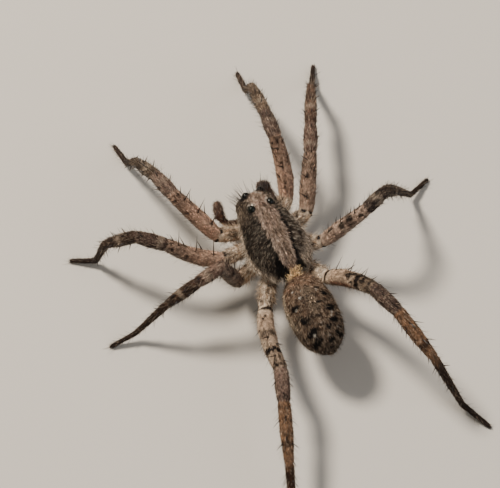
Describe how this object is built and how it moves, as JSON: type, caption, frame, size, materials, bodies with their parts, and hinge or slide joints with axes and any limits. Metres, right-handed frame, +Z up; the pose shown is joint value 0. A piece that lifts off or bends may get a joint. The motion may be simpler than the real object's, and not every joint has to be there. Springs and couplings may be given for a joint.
{
  "type": "wolf spider model",
  "caption": "Life-size still model of a wolf spider with a short mottled coat, standing on its feet with its legs spread.",
  "frame": {"origin": "centre of the bounding box, on the floor that the feet rest on", "axes": "+Y from tail to head, +X toward the spider's right side, +Z up"},
  "size_m": [0.0328, 0.0454, 0.0102],
  "materials": {
    "hide": "matte, short hairs",
    "dark_hide": "satin, short hairs",
    "eye": "glossy black",
    "fang": "glossy, near black"
  },
  "bodies": {
    "root": {"carapace": "hide", "abdomen": "hide", "leg_I_left_coxa": "hide", "leg_I_left_femur": "hide", "leg_I_left_patella": "hide", "leg_I_left_tibia": "hide", "leg_I_left_foot": "hide", "leg_I_right_coxa": "hide", "leg_I_right_femur": "hide", "leg_I_right_patella": "hide", "leg_I_right_tibia": "hide", "leg_I_right_foot": "hide", "leg_II_left_coxa": "hide", "leg_II_left_femur": "hide", "leg_II_left_patella": "hide", "leg_II_left_tibia": "hide", "leg_II_left_foot": "hide", "leg_II_right_coxa": "hide", "leg_II_right_femur": "hide", "leg_II_right_patella": "hide", "leg_II_right_tibia": "hide", "leg_II_right_foot": "hide", "leg_III_left_coxa": "hide", "leg_III_left_femur": "hide", "leg_III_left_patella": "hide", "leg_III_left_tibia": "hide", "leg_III_left_foot": "hide", "leg_III_right_coxa": "hide", "leg_III_right_femur": "hide", "leg_III_right_patella": "hide", "leg_III_right_tibia": "hide", "leg_III_right_foot": "hide", "leg_IV_left_coxa": "hide", "leg_IV_left_femur": "hide", "leg_IV_left_patella": "hide", "leg_IV_left_tibia": "hide", "leg_IV_left_foot": "hide", "leg_IV_right_coxa": "hide", "leg_IV_right_femur": "hide", "leg_IV_right_patella": "hide", "leg_IV_right_tibia": "hide", "leg_IV_right_foot": "hide", "sternum": "dark_hide", "pedicel": "dark_hide", "spinnerets": "dark_hide", "chelicera_left": "dark_hide", "chelicera_right": "dark_hide", "pedipalp_left": "dark_hide", "pedipalp_right": "dark_hide", "eye_median_rear_left": "eye", "eye_median_rear_right": "eye", "eye_lateral_rear_left": "eye", "eye_lateral_rear_right": "eye", "eye_median_front_left": "eye", "eye_median_front_right": "eye", "eye_lateral_front_left": "eye", "eye_lateral_front_right": "eye", "fang_left": "fang", "fang_right": "fang"}
  },
  "joints": []
}
